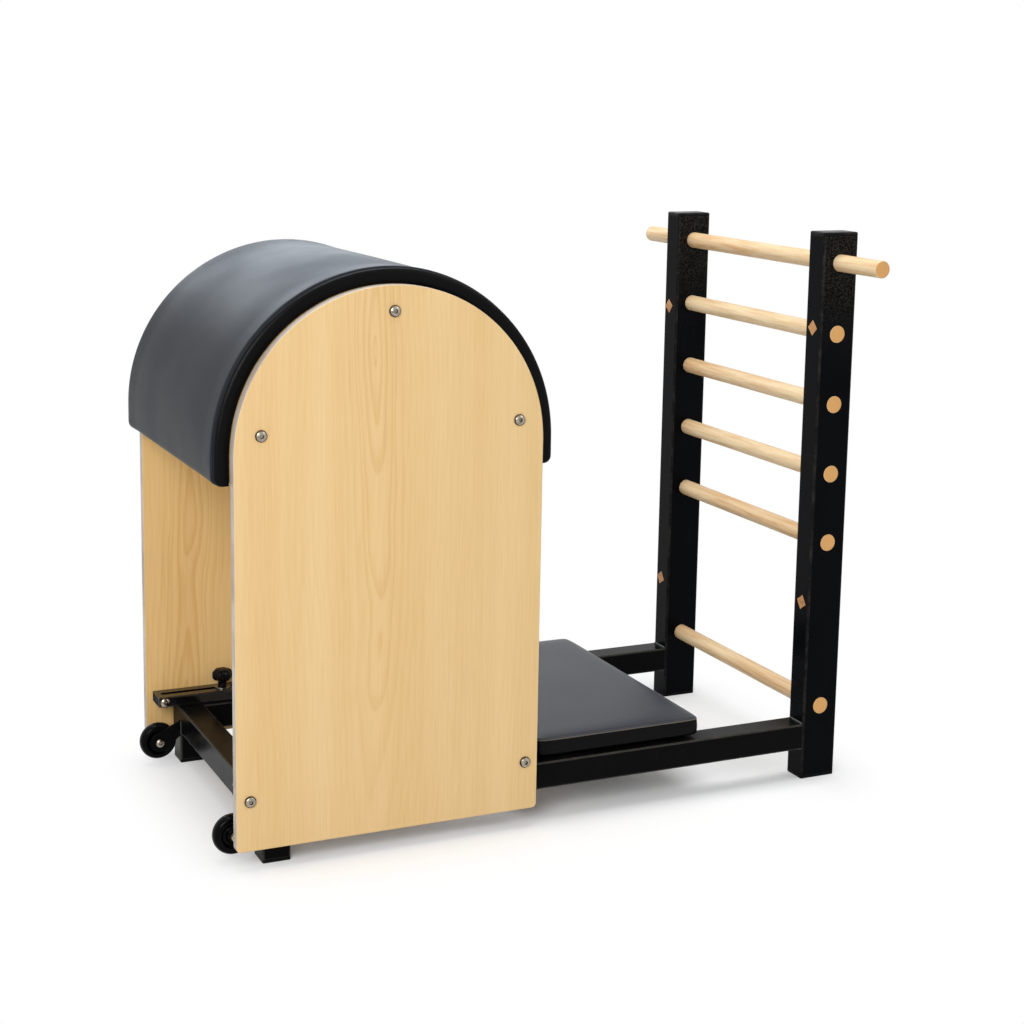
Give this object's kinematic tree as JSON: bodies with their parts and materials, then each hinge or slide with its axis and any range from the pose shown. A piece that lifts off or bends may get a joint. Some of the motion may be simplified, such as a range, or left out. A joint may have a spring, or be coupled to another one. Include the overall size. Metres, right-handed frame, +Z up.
{
  "type": "pilates ladder barrel",
  "caption": "Pilates ladder barrel: a padded half-round barrel with pale wooden side panels on a black sliding base, facing a ladder of wooden rungs across a padded step.",
  "frame": {"origin": "on the floor, under the centre of the whole object's box", "axes": "+X from the barrel to the ladder, +Y to the left of someone facing the ladder, +Z up"},
  "size_m": [1.238, 0.854, 1.056],
  "materials": {
    "black_paint": "gloss powder coat",
    "gloss_black_bar": "high gloss",
    "black_plastic": "satin",
    "knob_plastic": "satin",
    "laminate": "satin laminate",
    "rung_wood": "satin lacquer",
    "inlay_wood": "satin",
    "plywood": "raw",
    "charcoal_vinyl": "satin, fine grain",
    "black_vinyl": "satin, fine grain",
    "nickel": "bright nickel plate",
    "brass": "passivated",
    "wheel_rubber": "gloss"
  },
  "bodies": {
    "frame": {"side_rail_left": "black_paint", "side_rail_right": "black_paint", "cross_beam": "black_paint", "foot_left": "black_paint", "foot_right": "black_paint", "foot_cap_left": "black_plastic", "foot_cap_right": "black_plastic", "beam_end_cap_left": "black_plastic", "beam_end_cap_right": "black_plastic", "upright_left": "black_paint", "upright_right": "black_paint", "upright_top_cap_left": "black_plastic", "upright_top_cap_right": "black_plastic", "upright_bottom_cap_left": "black_plastic", "upright_bottom_cap_right": "black_plastic", "rung_1": "rung_wood", "rung_2": "rung_wood", "rung_3": "rung_wood", "rung_4": "rung_wood", "rung_5": "rung_wood", "rung_6": "rung_wood", "diamond_inlay_upper_left": "inlay_wood", "diamond_inlay_upper_right": "inlay_wood", "diamond_inlay_lower_left": "inlay_wood", "diamond_inlay_lower_right": "inlay_wood", "wheel_bracket_left": "black_paint", "wheel_bracket_right": "black_paint", "axle_bolt_left": "nickel", "axle_bolt_right": "nickel", "axle_nut_left": "brass", "axle_nut_right": "brass", "glide_strip_left": "black_plastic", "glide_strip_right": "black_plastic", "step_board": "plywood", "step_cushion": "black_vinyl"},
    "barrel": {"side_panel_left": "laminate", "side_panel_right": "laminate", "drum_shell": "plywood", "rib_top": "plywood", "rib_front": "plywood", "rib_rear": "plywood", "barrel_pad": "charcoal_vinyl", "slotted_bar_left": "gloss_black_bar", "slotted_bar_right": "gloss_black_bar", "panel_bolt_top_left": "nickel", "panel_bolt_top_right": "nickel", "panel_bolt_front_left": "nickel", "panel_bolt_front_right": "nickel", "panel_bolt_rear_left": "nickel", "panel_bolt_rear_right": "nickel", "panel_bolt_lower_front_left": "nickel", "panel_bolt_lower_front_right": "nickel", "panel_bolt_lower_rear_left": "nickel", "panel_bolt_lower_rear_right": "nickel"},
    "wheel_left": {"transport_wheel_left": "wheel_rubber"},
    "wheel_right": {"transport_wheel_right": "wheel_rubber"},
    "washer_left": {"clamp_washer_left": "nickel"},
    "washer_right": {"clamp_washer_right": "nickel"},
    "knob_left": {"clamp_knob_left": "knob_plastic"},
    "knob_right": {"clamp_knob_right": "knob_plastic"}
  },
  "joints": [
    {"name": "barrel_slide", "type": "slide", "parent": "frame", "child": "barrel", "axis": [1, 0, 0], "range_m": [-0.17, 0.025]},
    {"name": "wheel_spin_left", "type": "hinge", "parent": "frame", "child": "wheel_left", "pos_m": [-0.578, 0.253, 0.0475], "axis": [0, 1, 0], "continuous": true},
    {"name": "washer_lift_left", "type": "slide", "parent": "frame", "child": "washer_left", "axis": [0, 0, 1], "range_m": [0, 0.003]},
    {"name": "knob_turn_left", "type": "hinge", "parent": "washer_left", "child": "knob_left", "pos_m": [-0.443, 0.27, 0.15], "axis": [0, 0, 1], "range_deg": [0, 720]},
    {"name": "wheel_spin_right", "type": "hinge", "parent": "frame", "child": "wheel_right", "pos_m": [-0.578, -0.253, 0.0475], "axis": [0, 1, 0], "continuous": true},
    {"name": "washer_lift_right", "type": "slide", "parent": "frame", "child": "washer_right", "axis": [0, 0, 1], "range_m": [0, 0.003]},
    {"name": "knob_turn_right", "type": "hinge", "parent": "washer_right", "child": "knob_right", "pos_m": [-0.443, -0.27, 0.15], "axis": [0, 0, 1], "range_deg": [0, 720]}
  ],
  "couplings": [
    {"joint": "washer_lift_left", "follows": "knob_turn_left", "m_per_rad": 0.00023873},
    {"joint": "washer_lift_right", "follows": "knob_turn_right", "m_per_rad": 0.00023873}
  ]
}
